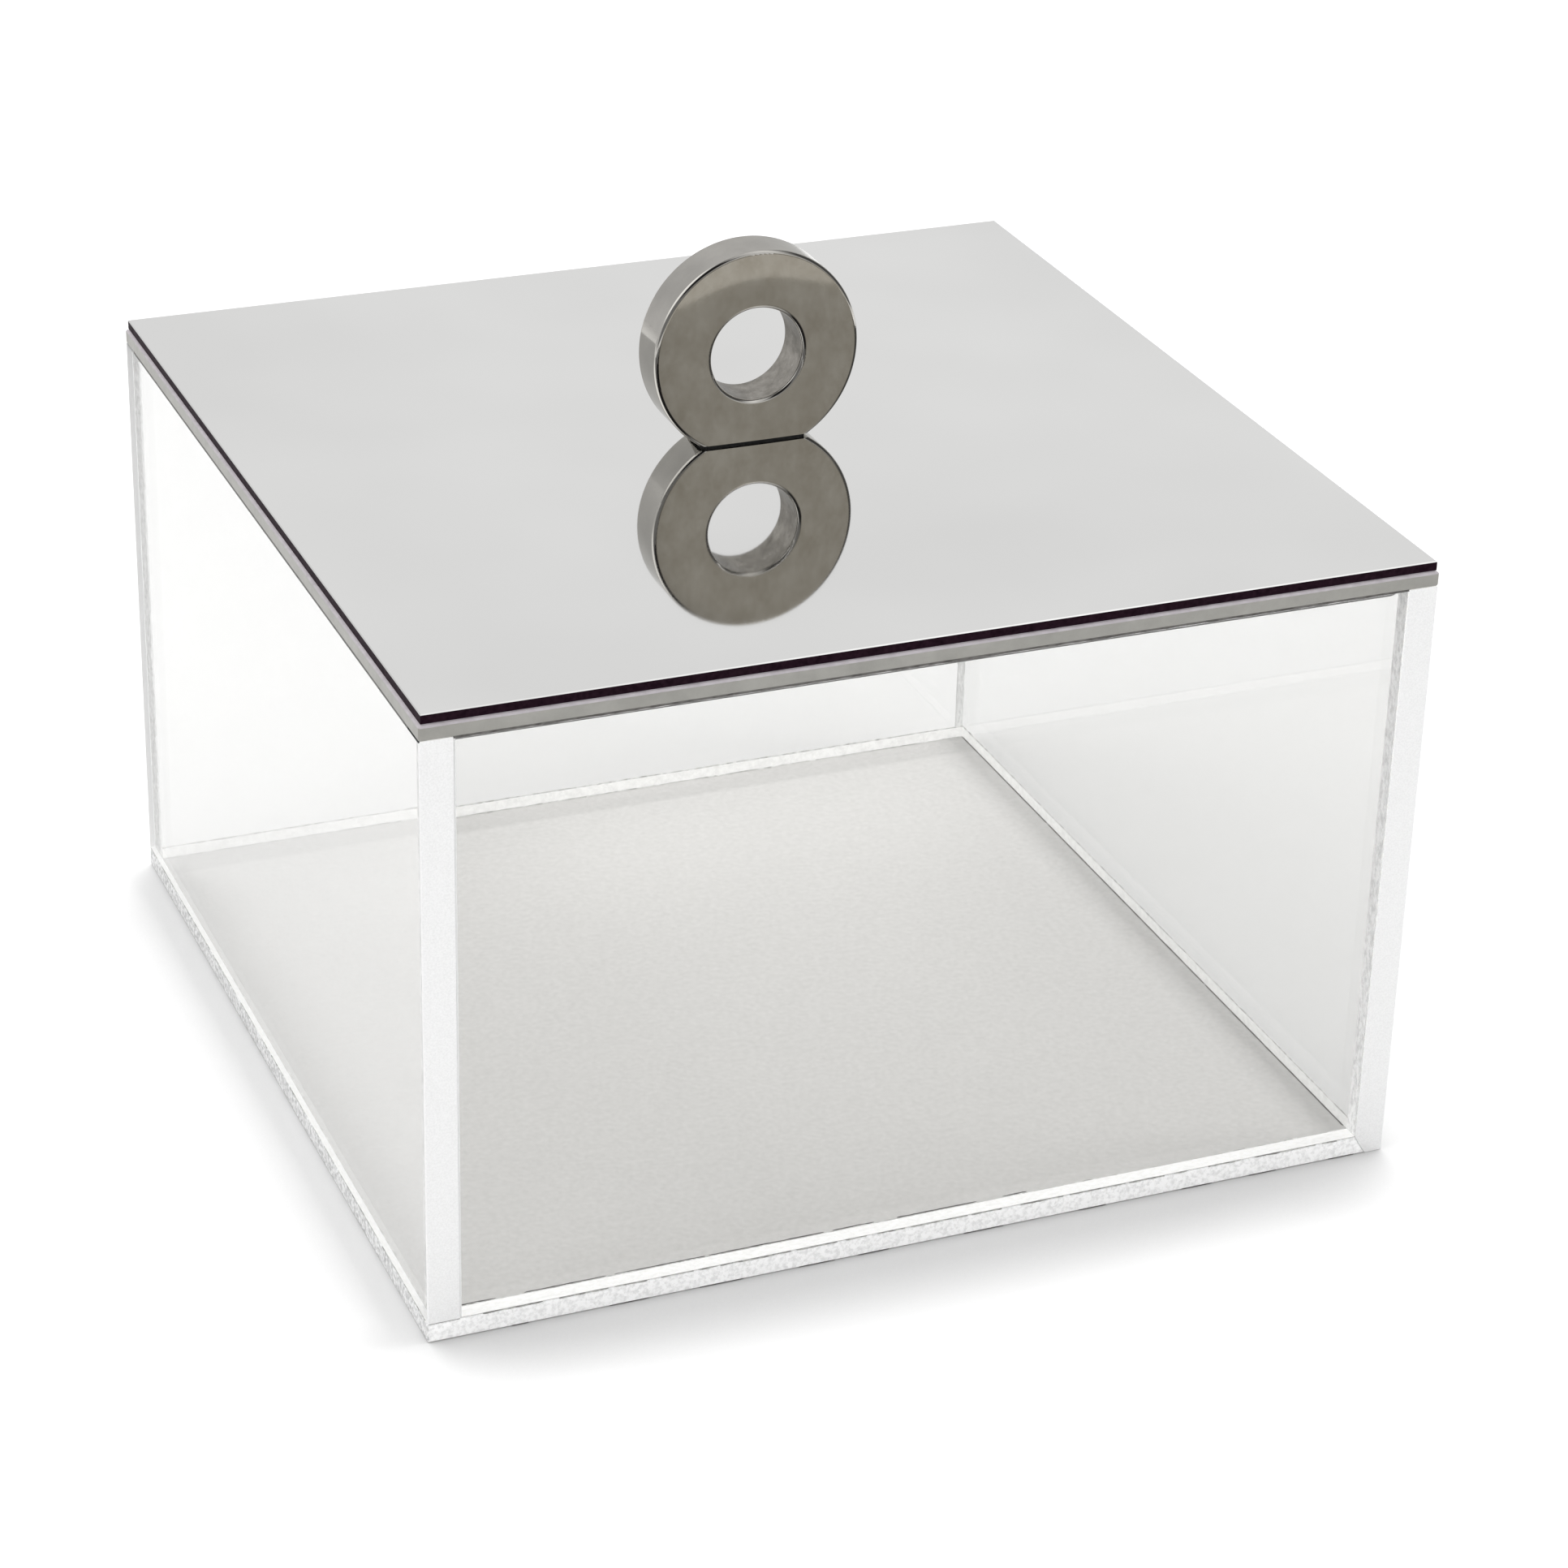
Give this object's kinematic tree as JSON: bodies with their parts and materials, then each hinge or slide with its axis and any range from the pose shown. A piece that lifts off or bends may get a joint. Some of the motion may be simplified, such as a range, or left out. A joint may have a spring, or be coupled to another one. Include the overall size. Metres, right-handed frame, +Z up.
{
  "type": "lidded acrylic display box",
  "caption": "Square clear acrylic display box: flat base, upright walls and a lift-off mirror-topped lid carrying a flat-footed metal ring knob.",
  "frame": {"origin": "centre of the case's underside, where the box stands on a shelf", "axes": "+Z up out of the lid, +X to the right along the front wall, -Y out of the front wall; the knob's hole runs along Y"},
  "size_m": [0.2032, 0.2032, 0.1711],
  "materials": {
    "wall_acrylic": "polished",
    "base_acrylic": "satin",
    "locating_acrylic": "satin",
    "lid_panel_grey": "satin",
    "bond_film": "satin",
    "mirror_top": "polished",
    "gasket_rubber": "matte",
    "knob_steel": "satin",
    "screw_steel": "satin"
  },
  "bodies": {
    "case": {"base_panel": "base_acrylic", "front_wall": "wall_acrylic", "back_wall": "wall_acrylic", "left_wall": "wall_acrylic", "right_wall": "wall_acrylic"},
    "lid": {"locating_plate": "locating_acrylic", "lid_panel": "lid_panel_grey", "bond_film": "bond_film", "mirror_plate": "mirror_top", "knob_gasket": "gasket_rubber", "ring_knob": "knob_steel", "knob_screws": "screw_steel"}
  },
  "joints": [
    {"name": "lid_lift", "type": "slide", "parent": "case", "child": "lid", "axis": [0, 0, 1], "range_m": [0, 0.06]}
  ]
}
